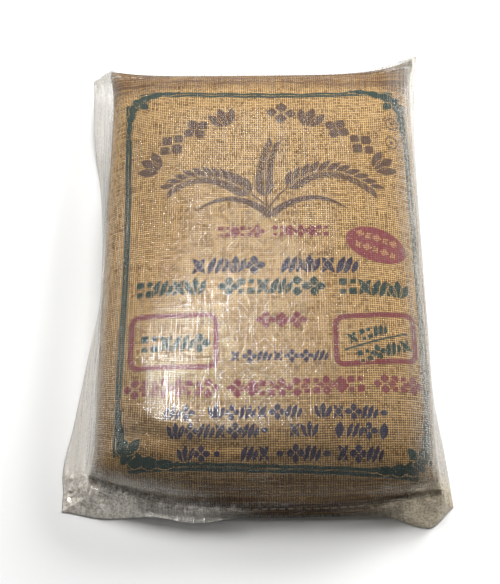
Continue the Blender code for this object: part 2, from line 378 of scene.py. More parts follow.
# %% Node helper
class Nodes:
    """Adds nodes to one tree. An input's value is a number, a colour or another output.
    Scaled is value * factor + offset. Blend mixes two numbers and mix two colours, by a
    share. Ease is a smooth step between low and high, from start to end."""

    def __init__(self, tree):
        self.tree = tree

    def add(self, kind, inputs=(), **settings):
        node = self.tree.nodes.new(kind)
        for name, value in settings.items():
            setattr(node, name, value)
        for key, value in dict(inputs).items():
            if isinstance(value, bpy.types.NodeSocket):
                self.tree.links.new(value, node.inputs[key])
            else:
                node.inputs[key].default_value = value
        return node

    def math(self, operation, *values):
        return self.add("ShaderNodeMath", enumerate(values), operation=operation).outputs[0]

    def times(self, first, second):
        return self.math("MULTIPLY", first, second)

    def plus(self, first, second):
        return self.math("ADD", first, second)

    def minus(self, first, second):
        return self.math("SUBTRACT", first, second)

    def scaled(self, value, factor, offset):
        return self.math("MULTIPLY_ADD", value, factor, offset)

    def vector(self, x=0.0, y=0.0, z=0.0):
        return self.add("ShaderNodeCombineXYZ", enumerate((x, y, z))).outputs[0]

    def noise(self, vector, scale, detail=2.0, roughness=0.5):
        inputs = {"Vector": vector, "Scale": scale, "Detail": detail, "Roughness": roughness}
        return self.add("ShaderNodeTexNoise", inputs).outputs["Fac"]

    def random(self, vector):
        return self.add("ShaderNodeTexWhiteNoise", {"Vector": vector}).outputs["Value"]

    def ease(self, value, low, high, start=0.0, end=1.0):
        inputs = {"Value": value, "From Min": low, "From Max": high, "To Min": start, "To Max": end}
        node = self.add("ShaderNodeMapRange", inputs, interpolation_type="SMOOTHSTEP")
        return node.outputs["Result"]

    def stretched(self, s, t, per_s, per_t, detail=3.0, roughness=0.5, seed=0.0):
        """Noise drawn out into streaks: a scale of its own for each direction."""
        place = self.vector(self.times(s, per_s), self.times(t, per_t), seed)
        return self.noise(place, 1.0, detail, roughness)

    def blend(self, share, first, second):
        return self.add("ShaderNodeMix", {0: share, 2: first, 3: second}).outputs[0]

    def mix(self, share, first, second):
        inputs = {0: share, 6: first, 7: second}
        return self.add("ShaderNodeMix", inputs, data_type="RGBA").outputs[2]

    def split(self, vector):
        return self.add("ShaderNodeSeparateXYZ", {0: vector}).outputs

    def attribute(self, name):
        return self.add("ShaderNodeAttribute", attribute_name=name).outputs["Fac"]

    def threads(self):
        return self.add("ShaderNodeUVMap", uv_map="threads").outputs[0]


def linear(red, green, blue):
    """Linear colour from one that is read off a screen, each channel from 0 to 255."""
    def channel(value):
        """A share of 1 with the screen's own curve taken off it."""
        value /= 255
        return value / 12.92 if value <= 0.04045 else ((value + 0.055) / 1.055) ** 2.4
    return (channel(red), channel(green), channel(blue), 1.0)


def new_group(name, inputs, outputs):
    """Empty shader node group with named sockets: (name, socket kind, value) for each
    input and (name, socket kind) for each output."""
    group = bpy.data.node_groups.new(name, "ShaderNodeTree")
    for label, kind, value in inputs:
        socket = group.interface.new_socket(label, in_out="INPUT", socket_type=kind)
        if value is not None:
            socket.default_value = value
    for label, kind in outputs:
        group.interface.new_socket(label, in_out="OUTPUT", socket_type=kind)
    n = Nodes(group)
    return n, n.add("NodeGroupInput").outputs, n.add("NodeGroupOutput").inputs


def new_material(name):
    """Material with its tree cleared down to one Principled shader."""
    material = bpy.data.materials.new(name)
    material.use_nodes = True
    n = Nodes(material.node_tree)
    shader = material.node_tree.nodes["Principled BSDF"]
    return material, n, shader


# %% [markdown]
# ## Plain weave of jute
#
# Sacking is a plain weave: each thread goes over one and under the next. Jute yarn is
# hairy and uneven, thick in one place and thin in another, so the cloth is streaked along
# its threads and its holes differ. The group works in thread coordinates. Dividing by the
# pitch gives the number of the thread and the place across it, and a cosine that changes
# sign from thread to thread lifts one set where it sinks the other. The colour darkens
# where a thread sinks, towards that of the holes: painted shade in the dips of the weave.

# %% Weave group
WEAVE_PITCH = 0.0029
FLOAT, COLOUR, VECTOR = "NodeSocketFloat", "NodeSocketColor", "NodeSocketVector"


def half_weave(n, along_it, across_it, seed, number_shift):
    """One set of threads: (height, cover, tone). Height is a round section plus the lift
    of the weave, cover is 1 on the thread, and tone is its shade, which drifts along it."""
    number = n.math("FLOOR", across_it)
    place = n.math("ABSOLUTE", n.minus(n.math("FRACT", across_it), 0.5))
    tone = n.ease(n.stretched(number, along_it, 3.17, 0.07, seed=seed), 0.25, 0.75)
    half_width = n.scaled(tone, 0.08, 0.25)
    share = n.math("MINIMUM", n.math("DIVIDE", place, half_width), 1.0)
    section = n.math("SQRT", n.minus(1.0, n.times(share, share)))
    phase = n.plus(n.minus(along_it, 0.5), n.plus(number, number_shift))
    lift = n.math("COSINE", n.times(phase, math.pi))
    height = n.scaled(section, 0.45, n.scaled(lift, 0.27, 0.28))
    cover = n.ease(share, 1.0, 0.8)
    return n.times(height, cover), cover, tone


def make_weave_group():
    """Group that turns thread coordinates into the colour, height and holes of jute, and paints shade in
    the dips.
    """
    n, given, result = new_group(
        "jute_weave",
        [("Threads", VECTOR, None), ("Pitch", FLOAT, WEAVE_PITCH),
         ("Pale yarn", COLOUR, linear(212, 172, 110)), ("Dark yarn", COLOUR, linear(92, 57, 28)),
         ("Hole", COLOUR, linear(36, 20, 8))],
        [("Colour", COLOUR), ("Height", FLOAT), ("Hole share", FLOAT), ("Ragged", FLOAT)],
    )
    wander = n.noise(given["Threads"], 60.0, 2.0)
    s, t, _ = n.split(given["Threads"])
    s = n.math("DIVIDE", n.scaled(wander, 0.0016, s), given["Pitch"])
    t = n.math("DIVIDE", n.scaled(wander, -0.0014, t), given["Pitch"])
    lengthwise, length_cover, length_tone = half_weave(n, t, s, 3.1, 0.0)
    crosswise, cross_cover, cross_tone = half_weave(n, s, t, 47.9, 1.0)
    height = n.math("MAXIMUM", lengthwise, crosswise)
    hole = n.times(n.minus(1.0, length_cover), n.minus(1.0, cross_cover))
    on_top = n.ease(n.minus(lengthwise, crosswise), -0.05, 0.05)
    tone = n.blend(on_top, cross_tone, length_tone)
    cell = n.random(n.vector(n.math("FLOOR", s), n.math("FLOOR", t)))
    # Yarn tone and cell tone are the jute's own colour; the height term is painted shade, darker where a
    # thread dips.
    shade = n.plus(n.times(tone, 0.25), n.times(cell, 0.26))
    shade = n.plus(shade, n.times(height, 0.44))
    yarn = n.mix(n.ease(shade, 0.25, 0.77), given["Dark yarn"], given["Pale yarn"])
    # Painted shade: low places of the threads fade towards the colour of the holes.
    yarn = n.mix(n.ease(height, 0.70, 0.24, 0.0, 0.90), yarn, given["Hole"])
    links = n.tree.links
    links.new(n.mix(hole, yarn, given["Hole"]), result["Colour"])
    links.new(height, result["Height"])
    links.new(hole, result["Hole share"])
    links.new(n.plus(n.times(cell, 0.6), n.times(tone, 0.4)), result["Ragged"])
    return n.tree


WEAVE = make_weave_group()


def woven(n):
    """Places the weave group in a material and gives it the piece's thread coordinates."""
    node = n.add("ShaderNodeGroup", node_tree=WEAVE)
    n.tree.links.new(n.threads(), node.inputs["Threads"])
    return node.outputs


def bumped(n, shader, height, distance, strength=1.0):
    """Feeds a height through a Bump node into a shader's normal."""
    bump = n.add("ShaderNodeBump", {"Height": height, "Distance": distance, "Strength": strength})
    n.tree.links.new(bump.outputs[0], shader.inputs["Normal"])


# %% Jute material
# Brown of the painted shade on the jute.
SHADE_BROWN = linear(84, 56, 34)


def make_jute():
    """The weave, with painted shade: brown in streaks along the crosswise threads, as much as each
    point's painted shade value.
    """
    material, n, shader = new_material("jute")
    weave = woven(n)
    s, t, _ = n.split(n.threads())
    # Painted shade: streaked brown, mixed in by each point's painted shade value.
    streak = n.stretched(s, t, 14.0, 260.0)
    share = n.times(n.ease(streak, 0.30, 0.65, 0.25, 0.75), n.attribute("soiled"))
    n.tree.links.new(n.mix(share, weave["Colour"], SHADE_BROWN), shader.inputs["Base Color"])
    shader.inputs["Roughness"].default_value = 0.85
    shader.inputs["Specular IOR Level"].default_value = 0.2
    bumped(n, shader, weave["Height"], 0.0009, 0.8)
    return material


sack.data.materials.append(make_jute())
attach(sack, "root")
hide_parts("jute_sack")
print("weave of", round(1 / WEAVE_PITCH / 100, 1), "threads per centimetre")

# %% [markdown]
# ## Ink that lies on the threads
#
# A sack is printed with a few flat colours. The ink takes on top of the threads, misses
# the holes, and its edges are ragged by the weave. Each colour is one thin mesh that lies
# a third of a millimetre above the cloth. It repeats the weave of the jute below it,
# and every point knows how far inside its own patch it is: the ink starts a little inside
# the edge, sooner on some threads than on others, and bare jute is left outside it.

# %% Ink material
INK_MARGIN, INK_SOFTNESS = 0.0009, 0.0004
INK_RAGGED = 0.0016


def make_ink(name, colour, cover, dips):
    """Jute with ink over it. The ink's share is its cover, times dips in the dips of the
    weave, and falls to nothing towards the edge of the patch."""
    material, n, shader = new_material(name)
    weave = woven(n)
    ragged = n.times(n.minus(weave["Ragged"], 0.5), INK_RAGGED)
    depth = n.plus(n.attribute("inside"), ragged)
    inside = n.ease(depth, INK_MARGIN - INK_SOFTNESS, INK_MARGIN + INK_SOFTNESS)
    top = n.ease(n.scaled(weave["Ragged"], 0.40, weave["Height"]), 0.34, 0.86, dips)
    share = n.times(n.times(inside, top), cover)
    n.tree.links.new(n.mix(share, weave["Colour"], colour), shader.inputs["Base Color"])
    shader.inputs["Roughness"].default_value = 0.75
    shader.inputs["Specular IOR Level"].default_value = 0.25
    bumped(n, shader, weave["Height"], 0.0008, 0.6)
    return material


# %% [markdown]
# ## Laying a flat print on a round sack
#
# The print is drawn in plan, in metres from the middle of the sack, as it would be on a
# printing plate. To lay it on the cloth, each plan point is turned into the cloth's own
# parameters, and the cloth function gives the place in space and, by small steps to both
# sides, the normal that lifts the ink off the threads.

# %% Laying on
INK_LIFT, SECOND_LIFT = 0.0003, 0.0005


def cloth_place(x, y):
    """(across, along) of a plan point. Along is y over the length of its half, across is x
    over the half width there. Each needs the other, so a few rounds settle both."""
    across, along = x / (SACK_WIDTH / 2), np.zeros_like(y)
    for _ in range(6):
        near, far = seam_lines(across)
        along = np.where(y < 0, -y / (near + HEM), y / (far - HEM))
        across = x / (SACK_WIDTH / 2 + EAR_REACH * np.abs(along) ** 10 - END_NARROWING * along**4)
    return across, along


def cloth_normal(across, along, step=0.002):
    """Unit normal of the upper cloth, from steps across and along."""
    across_step = cloth(across + step, along, 1) - cloth(across - step, along, 1)
    along_step = cloth(across, along + step, 1) - cloth(across, along - step, 1)
    normal = np.cross(across_step, along_step)
    return normal / np.linalg.norm(normal, axis=-1, keepdims=True)


def lay_print(name, patches, material, lift=INK_LIFT):
    """One mesh from many plan patches, laid on the upper cloth."""
    points, faces, insides, places, start = [], [], [], [], 0
    for plan, inside in patches:
        across, along = cloth_place(plan[..., 0], plan[..., 1])
        lifted = cloth(across, along, 1) + cloth_normal(across, along) * lift
        points.append(lifted.reshape(-1, 3))
        places.append(np.stack(threads(across, along), -1).reshape(-1, 2))
        insides.append(inside.ravel())
        patch_faces = grid_faces(*inside.shape) + start
        edge_a = plan[0, -1] - plan[0, 0]
        edge_b = plan[-1, 0] - plan[0, 0]
        mirrored = edge_a[0] * edge_b[1] - edge_a[1] * edge_b[0] < 0
        faces += (patch_faces[:, ::-1] if mirrored else patch_faces).tolist()
        start += inside.size
    obj = object_from_faces(name, np.concatenate(points), faces, np.concatenate(places),
                            inside=np.concatenate(insides))
    obj.data.materials.append(material)
    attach(obj, "root")
    print(name, len(patches), "patches,", len(faces), "faces")


# %% [markdown]
# ## Shapes of the print
#
# Each shape is a small grid of plan points and, for each of them, its distance inside the
# shape's edge. A sack is printed from simple blocks, so plain grains, leaves, lozenges and
# bars are enough, and everything on the face is made of them.

# %% Print shapes
STROKE_STEP = 0.0022


def points_at(path, length, at):
    """Points of a path at given running lengths, straight between its own points."""
    return np.stack([np.interp(at, length, path[:, axis]) for axis in (0, 1)], -1)


def square_grid(rows, columns):
    """Two parameters from -1 to 1: c across the columns and t up the rows."""
    c, t = np.meshgrid(np.linspace(-1, 1, columns), np.linspace(-1, 1, rows))
    return c, t


def block(width, height):
    """An upright bar: its distance inside is that to its nearest side."""
    c, t = square_grid(5, 5)
    inside = np.minimum(width / 2 * (1 - np.abs(c)), height / 2 * (1 - np.abs(t)))
    return np.stack([c * width / 2, t * height / 2], -1), inside


def lozenge(width, height):
    """A square grid turned by 45 degrees: x goes with c - t and y with c + t."""
    c, t = square_grid(5, 5)
    inside = min(width, height) / 2.83 * (1 - np.maximum(np.abs(c), np.abs(t)))
    return np.stack([(c - t) * width / 4, (c + t) * height / 4], -1), inside


def oval(width, height):
    """A square bent into a disc: x = c * sqrt(1 - t^2 / 2), and y likewise."""
    c, t = square_grid(11, 11)
    x, y = c * np.sqrt(1 - t**2 / 2), t * np.sqrt(1 - c**2 / 2)
    inside = min(width, height) / 2 * (1 - np.hypot(x, y))
    return np.stack([x * width / 2, y * height / 2], -1), inside


def grain(width, height):
    """A grain or leaf standing upright: its half width falls off as 1 - t^2."""
    c, t = square_grid(9, 3)
    half = width / 2 * (1 - t**2)
    return np.stack([c * half, t * height / 2], -1), half * (1 - np.abs(c))


def stroke(path, width, taper=False, lobes=0):
    """A line of even width along a path of plan points, or one that tapers to its end, or
    a scroll whose edge swells in a number of lobes that get smaller."""
    path = np.array(path, float)
    length = running_length(path)
    at = np.linspace(0, length[-1], max(int(length[-1] / STROKE_STEP), 3) + 1)
    centre = points_at(path, length, at)
    forward = np.gradient(centre, axis=0)
    forward /= np.linalg.norm(forward, axis=1, keepdims=True)
    sideways = np.stack([forward[:, 1], -forward[:, 0]], -1)
    c = np.linspace(-1, 1, 5)
    half = np.full(len(at), width / 2)
    if taper:
        half *= (1 - at / length[-1]) ** 0.6 + 0.15
    if lobes:
        share = at / length[-1]
        swelling = np.abs(np.sin(math.pi * (lobes * share**0.9 + 0.35)))
        half *= (1 - 0.62 * share) * (0.62 + 0.38 * swelling)
    plan = centre[:, None] + sideways[:, None] * (c[None, :] * half[:, None])[..., None]
    inside = np.minimum(half[:, None] * (1 - np.abs(c)), np.minimum(at, at[-1] - at)[:, None] + 0.0006)
    return plan, inside


def ellipse_path(width, height, samples=40):
    """Points round an ellipse, ending where it starts."""
    turn = np.linspace(0, 2 * math.pi, samples + 1)
    return np.stack([np.cos(turn) * width / 2, np.sin(turn) * height / 2], -1)


def placed(patch, x, y, turn=0.0):
    """A patch turned by an angle in radians and moved to a plan point."""
    plan, inside = patch
    cos, sin = math.cos(turn), math.sin(turn)
    return plan @ np.array([[cos, sin], [-sin, cos]]) + (x, y), inside


# %% [markdown]
# ## Rows of ornament
#
# A row carries motifs at even steps along a line or an arc, each turned with it. A motif
# is one to four shapes drawn about its own middle for a height of 1, and a dash in the list
# of a row leaves a gap.

# %% Motifs
MOTIF_WIDTH = 1.18
MOTIFS = {
    # shape, width, height, aside, up, turn
    "sheaf": [(grain, 0.40, 1.05, 0.0, 0.06, 0.0), (grain, 0.36, 0.95, -0.27, -0.02, 0.45),
              (grain, 0.36, 0.95, 0.27, -0.02, -0.45)],
    "petals": [(grain, 0.40, 0.54, 0.0, 0.26, 0.0), (grain, 0.40, 0.54, 0.0, -0.26, 0.0),
               (grain, 0.40, 0.54, 0.26, 0.0, 1.5708), (grain, 0.40, 0.54, -0.26, 0.0, 1.5708)],
    "crossing": [(grain, 0.36, 1.12, 0.0, 0.0, 0.62), (grain, 0.36, 1.12, 0.0, 0.0, -0.62)],
    "leaning": [(grain, 0.36, 1.08, -0.22, 0.0, -0.40), (grain, 0.36, 1.08, 0.08, 0.0, -0.40),
                (grain, 0.32, 0.80, 0.34, -0.08, -0.40)],
    "lozenge": [(lozenge, 0.90, 1.08, 0.0, 0.0, 0.0)],
    "lozenges": [(lozenge, 0.56, 0.62, 0.0, 0.28, 0.0), (lozenge, 0.56, 0.62, 0.0, -0.28, 0.0),
                 (lozenge, 0.50, 0.56, 0.32, 0.0, 0.0), (lozenge, 0.50, 0.56, -0.32, 0.0, 0.0)],
    "squares": [(block, 0.38, 0.42, -0.20, 0.24, 0.0), (block, 0.38, 0.42, 0.20, -0.24, 0.0),
                (block, 0.30, 0.32, 0.20, 0.26, 0.0), (block, 0.30, 0.32, -0.20, -0.26, 0.0)],
    "grain": [(grain, 0.52, 1.05, 0.0, 0.0, -0.15)],
    "dot": [(oval, 0.42, 0.42, 0.0, 0.0, 0.0)],
}


def motif_row(path, height, motifs):
    """Patches of the named motifs at the middles of equal shares of a path."""
    path, names = np.array(path, float), motifs.split()
    length = running_length(path)
    patches = []
    for k, name in enumerate(names):
        at = (k + 0.5) / len(names) * length[-1]
        x, y = points_at(path, length, at)
        segment = min(np.searchsorted(length, at) - 1, len(path) - 2)
        turn = math.atan2(*(path[segment + 1] - path[segment])[::-1])
        for shape, width, tall, aside, up, lean in MOTIFS.get(name, ()):
            patch = placed(shape(width * height * MOTIF_WIDTH, tall * height),
                           aside * height * MOTIF_WIDTH, up * height, lean)
            patches.append(placed(patch, x, y, turn))
    return patches


def level(x0, x1, y):
    """A straight path for a row."""
    return ((x0, y), (x1, y))


# %% [markdown]
# ## The border
#
# A double line runs round the print. Two scrolls with lobes hide each of its corners and
# thin out along the sides, with a leaf between them, as on many printed sacks.

# %% Border
CORNERS = ((-0.181, 0.252), (0.193, 0.252), (0.198, -0.276), (-0.177, -0.266))
BOWS = (0.0125, -0.001, 0.0, 0.0062)
CORNER_RADIUS = 0.013
LINE_WIDTH, LINE_GAP = 0.0058, 0.0042
CORNER_SCALES = (1.2, 1.25, 1.2, 1.3)
SCROLL_LENGTH, SCROLL_WIDTH = 0.054, 0.0165


def border_side(start, end, bow=0.0):
    """Two parallel lines between the corner cuts of one side, bowed sideways a little."""
    start, end = np.array(start), np.array(end)
    along_it = (end - start) / np.linalg.norm(end - start)
    sideways = np.array([along_it[1], -along_it[0]])
    share = np.linspace(0, 1, 25)[:, None]
    path = start + along_it * CORNER_RADIUS + (end - start - 2 * along_it * CORNER_RADIUS) * share
    path = path + sideways * bow * np.sin(math.pi * share)
    return [stroke(path + sideways * k * LINE_GAP / 2, LINE_WIDTH) for k in (-1, 1)]


def border_corner(corner, before, after, scale):
    """The scrolls at a corner: one along each side, bent in where they meet, and a leaf."""
    corner, before, after = (np.array(point, float) for point in (corner, before, after))
    back_way = (before - corner) / np.linalg.norm(before - corner)
    on_way = (after - corner) / np.linalg.norm(after - corner)
    patches = []
    for way, other in ((back_way, on_way), (on_way, back_way)):
        reach = np.linspace(0, 1, 13)[:, None]
        bend = other * (0.0095 * (1 - reach) ** 3 + 0.0020) * scale
        path = corner + way * (0.0055 + SCROLL_LENGTH * reach) * scale + bend
        patches.append(stroke(path, SCROLL_WIDTH * scale, lobes=4))
    middle = corner + (back_way + on_way) * 0.0170 * scale
    lean = math.atan2(*(back_way + on_way)[::-1]) - math.pi / 2
    patches.append(placed(grain(0.011 * scale, 0.019 * scale), *middle, lean))
    return patches


border, scrolls = [], []
for k, corner in enumerate(CORNERS):
    following, previous = CORNERS[(k + 1) % 4], CORNERS[k - 1]
    border += border_side(corner, following, BOWS[k])
    scrolls += border_corner(corner, previous, following, CORNER_SCALES[k])

# %% [markdown]
# ## Print of the face
#
# From the far end to the near end: an arch of brown motifs, a bunch of rice, an oval stamp
# in maroon, rows in navy, green and maroon, and two framed panels. Most of it is rows, so
# they stand in one table, and a loop adds each one to the patches of its own ink.

# %% Rows
ARCH_CENTRE, ARCH_RADIUS = (0.0075, 0.0236), 0.1854
arch_turn = np.linspace(math.radians(151), math.radians(29.5), 41)
arch = np.stack([ARCH_CENTRE[0] + ARCH_RADIUS * np.cos(arch_turn),
                 ARCH_CENTRE[1] + ARCH_RADIUS * np.sin(arch_turn)], -1)

ROWS = (
    # ink, path, height, motifs
    ("brown", arch, 0.033, "sheaf lozenges petals sheaf - lozenges sheaf petals lozenges sheaf"),
    ("maroon", level(-0.055, 0.083, 0.027), 0.019,
     "squares lozenge squares petals - squares lozenge petals lozenge squares"),
    ("navy", level(-0.091, 0.116, -0.0205), 0.026,
     "crossing leaning sheaf petals - leaning sheaf crossing leaning"),
    ("green", level(-0.157, 0.179, -0.0495), 0.026,
     "squares leaning crossing sheaf - petals squares crossing leaning lozenges petals - "
     "squares crossing leaning sheaf"),
    ("maroon", level(-0.006, 0.051, -0.0945), 0.023, "petals lozenge petals"),
    ("navy", level(-0.042, 0.077, -0.1415), 0.018,
     "crossing petals leaning crossing petals petals leaning"),
    ("maroon", ((-0.163, -0.179), (0.010, -0.182), (0.189, -0.173)), 0.024,
     "lozenges squares lozenges petals squares lozenges - petals lozenge squares petals "
     "lozenges squares petals lozenge squares - lozenges squares petals"),
    ("navy", level(-0.119, 0.151, -0.2105), 0.020,
     "leaning petals - sheaf petals leaning crossing petals leaning - sheaf crossing petals "
     "leaning dot"),
    ("navy", level(-0.113, 0.150, -0.2315), 0.020,
     "sheaf petals leaning crossing petals leaning dot - crossing sheaf - grain leaning "
     "petals grain"),
    ("navy", level(-0.102, 0.139, -0.2560), 0.020,
     "sheaf petals dot - leaning crossing dot petals leaning dot crossing petals leaning"),
    ("green", level(-0.148, -0.067, -0.1235), 0.026, "squares crossing leaning petals"),
    ("green", ((0.100, -0.121), (0.150, -0.104)), 0.018, "crossing squares leaning"),
    ("green", ((0.114, -0.144), (0.182, -0.121)), 0.020, "squares petals leaning crossing"),
)

printed = {ink: [] for ink in ("green", "maroon", "navy", "brown")}
for ink, path, height, motifs in ROWS:
    printed[ink] += motif_row(path, height, motifs)

# %% Rings and the bunch of rice
RINGS = ((0.175, 0.200), (0.173, 0.169))
SPRAYS = (
    # foot, top of the bow, tip, length of a grain, how far the grains lean out
    ((0.020, 0.048), (-0.050, 0.104), (-0.112, 0.098), 0.027, 0.50),
    ((0.000, 0.048), (0.065, 0.112), (0.138, 0.098), 0.027, 0.50),
    ((0.010, 0.045), (0.004, 0.100), (0.012, 0.148), 0.025, 0.45),
)
GRAIN_PAIRS, BARE_STEM = 11, 0.30
LEAF_FOOT, LEAF_TOP_Y, LEAF_WIDTH = (0.010, 0.050), 0.075, 0.0110
LEAF_TIPS = ((-0.085, 0.058), (0.110, 0.060))


def arc_path(start, top, end, samples=30):
    """A bow through three points, as a parabola in its own share."""
    share = np.linspace(0, 1, samples)[:, None]
    start, top, end = np.array(start), np.array(top), np.array(end)
    middle = 2 * top - (start + end) / 2
    return start * (1 - share) ** 2 + 2 * middle * share * (1 - share) + end * share**2


def rice_spray(path, size, droop):
    """A stem with grains on both sides, which lean away from it and get smaller."""
    length = running_length(path)
    patches = [stroke(path, 0.0040, taper=True)]
    for share in np.linspace(BARE_STEM, 1, GRAIN_PAIRS):
        x, y = points_at(path, length, share * length[-1])
        ahead = points_at(path, length, (share + 0.02) * length[-1] - 0.001)
        forward = ahead - points_at(path, length, (share - 0.03) * length[-1])
        heading = math.atan2(forward[1], forward[0]) - math.pi / 2
        long = size * (1.15 - 0.35 * share)
        reach = long * 0.55
        for side in (-1, 1):
            lean = heading - side * droop
            patches.append(placed(grain(long * 0.42, long),
                                  x - math.sin(lean) * reach, y + math.cos(lean) * reach, lean))
    return patches


for ring_x, ring_y in RINGS:
    printed["brown"].append(placed(stroke(ellipse_path(0.016, 0.018), 0.0034), ring_x, ring_y))
    printed["brown"].append(placed(oval(0.0065, 0.0065), ring_x, ring_y))
for start, top, end, size, droop in SPRAYS:
    printed["brown"] += rice_spray(arc_path(start, top, end), size, droop)
for tip in LEAF_TIPS:
    leaf_top = ((tip[0] + LEAF_FOOT[0]) / 2, LEAF_TOP_Y)
    printed["brown"].append(stroke(arc_path(LEAF_FOOT, leaf_top, tip), LEAF_WIDTH, taper=True))

# %% Panels
PANEL_RADIUS, PANEL_LINE = 0.010, 0.0084


def panel(x0, x1, y0, y1, rise=0.0):
    """A frame with rounded corners, whose level sides rise to the right by a share."""
    turn = np.linspace(0, math.pi / 2, 7)
    path = []
    for quarter, (cx, cy) in enumerate(((x1, y1), (x0, y1), (x0, y0), (x1, y0))):
        cx += -PANEL_RADIUS if cx == x1 else PANEL_RADIUS
        cy += -PANEL_RADIUS if cy == y1 else PANEL_RADIUS
        path += [(cx + PANEL_RADIUS * math.cos(a + quarter * math.pi / 2),
                  cy + PANEL_RADIUS * math.sin(a + quarter * math.pi / 2)) for a in turn]
    path = np.array(path + path[:1])
    path[:, 1] += rise * (path[:, 0] - (x0 + x1) / 2)
    return stroke(path, PANEL_LINE)


printed["maroon"] += [panel(-0.161, -0.057, -0.154, -0.087),
                      panel(0.088, 0.1855, -0.148, -0.0865, rise=0.108)]
printed["green"].append(stroke(((0.098, -0.134), (0.177, -0.107)), 0.0040))

# %% Stamp
stamp = placed(oval(0.082, 0.050), 0.144, 0.011, math.radians(-14))
bare = motif_row(((0.118, 0.027), (0.172, 0.014)), 0.0100, "petals crossing petals crossing petals")
bare += motif_row(((0.115, 0.011), (0.170, -0.003)), 0.0100,
                  "crossing petals crossing petals crossing")

# %% Print meshes
INKS = {
    # colour, cover on top of the threads, and the share of it that reaches their dips
    "stamp": (linear(122, 34, 54), 0.90, 0.50),
    "thin stamp": (linear(150, 72, 66), 0.72, 0.80),
    "green": (linear(6, 44, 38), 0.98, 0.80),
    "maroon": (linear(112, 30, 48), 0.92, 0.55),
    "navy": (linear(20, 18, 52), 0.97, 0.62),
    "brown": (linear(72, 46, 38), 0.92, 0.45),
}
inks = {name: make_ink(name + " ink", *recipe) for name, recipe in INKS.items()}
lay_print("print_stamp", [stamp], inks["stamp"])
lay_print("print_bare", bare, inks["thin stamp"], SECOND_LIFT)
lay_print("print_green", border + printed["green"], inks["green"])
lay_print("print_scrolls", scrolls, inks["green"], SECOND_LIFT)
for ink in ("maroon", "navy", "brown"):
    lay_print("print_" + ink, printed[ink], inks[ink])

# %% [markdown]
# ## Stitches
#
# Both ends are sewn shut with a row of twine stitches. Each is a short fat thread with
# round ends, so it is a capsule: a ring whose radius falls to nothing at both ends.

# %% Stitches
STITCH_STEP, STITCH_LENGTH, STITCH_RADIUS = 0.010, 0.0075, 0.0010
STITCHED_SHARE, STITCH_LINE, STITCH_LIFT = 0.95, 1.45, 0.0003


def capsule(ends, radius, ring=6, rows=7):
    """Points and faces of capsules between pairs of ends, an array (n, 2, 3). Along each
    one the radius follows a half ellipse, so that it is closed at both ends."""
    turn = np.linspace(0, 2 * math.pi, ring + 1)[:-1]
    share = (1 - np.cos(np.linspace(0, math.pi, rows))) / 2
    width = radius * np.sin(np.linspace(0, math.pi, rows)) ** 0.5
    width[[0, -1]] = radius * 0.05
    axis = ends[:, 1] - ends[:, 0]
    axis /= np.linalg.norm(axis, axis=1, keepdims=True)
    aside = np.cross(axis, (0, 0, 1.0))
    aside /= np.linalg.norm(aside, axis=1, keepdims=True)
    over = np.cross(aside, axis)
    centre = ends[:, :1] + (ends[:, 1:] - ends[:, :1]) * share[None, :, None]
    round_it = aside[:, None] * np.cos(turn)[None, :, None] + over[:, None] * np.sin(turn)[None, :, None]
    points = centre[:, :, None] + round_it[:, None] * width[None, :, None, None]
    row, k = np.meshgrid(np.arange(rows - 1), np.arange(ring), indexing="ij")
    after = (k + 1) % ring
    side = np.stack([row * ring + k, row * ring + after, (row + 1) * ring + after,
                     (row + 1) * ring + k], -1).reshape(-1, 4)
    starts = np.arange(len(ends))[:, None, None] * rows * ring
    faces = (side[None] + starts).reshape(-1, 4).tolist()
    caps = [list(range(ring))[::-1], [(rows - 1) * ring + j for j in range(ring)]]
    faces += [[int(s) + j for j in cap] for s in starts.ravel() for cap in caps]
    return points.reshape(-1, 3), faces


def seam_stitches():
    """Ends of the stitches: along both hems, a little above and below the cloth."""
    count = int(SACK_WIDTH * STITCHED_SHARE / STITCH_STEP)
    middle = np.linspace(-STITCHED_SHARE, STITCHED_SHARE, count)
    half = STITCH_LENGTH / SACK_WIDTH
    ends = []
    for along in (-STITCH_LINE, STITCH_LINE):
        for side in (1, -1):
            pair = [cloth(middle + shift, np.full(count, along), side) for shift in (-half, half)]
            pair = np.stack(pair, 1)
            pair[..., 2] += side * STITCH_LIFT
            ends.append(pair)
    return np.concatenate(ends)


stitch_points, stitch_faces = capsule(seam_stitches(), STITCH_RADIUS)
stitches = object_from_faces("seam_stitches", stitch_points, stitch_faces)
twine, n, shader = new_material("twine")
shader.inputs["Base Color"].default_value = linear(196, 168, 122)
shader.inputs["Roughness"].default_value = 0.8
stitches.data.materials.append(twine)
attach(stitches, "root")
print("stitches", len(stitch_faces), "faces")

# %% [markdown]
# ## The clear bag
#
# The bag is wider and longer than the sack. Over the top its film lies tight on the
# cloth, and beyond the sides it makes a flat skirt that comes down to the floor. So the
# film starts as the cloth grown by a millimetre, with columns added for the skirts and
# rows for the mouth and the sealed end. Then it is stretched: round by round, each point
# goes to the mean height of its neighbours, but never into the cloth. It is done first on
# a coarse grid and then on finer ones, because a coarse grid settles much sooner.

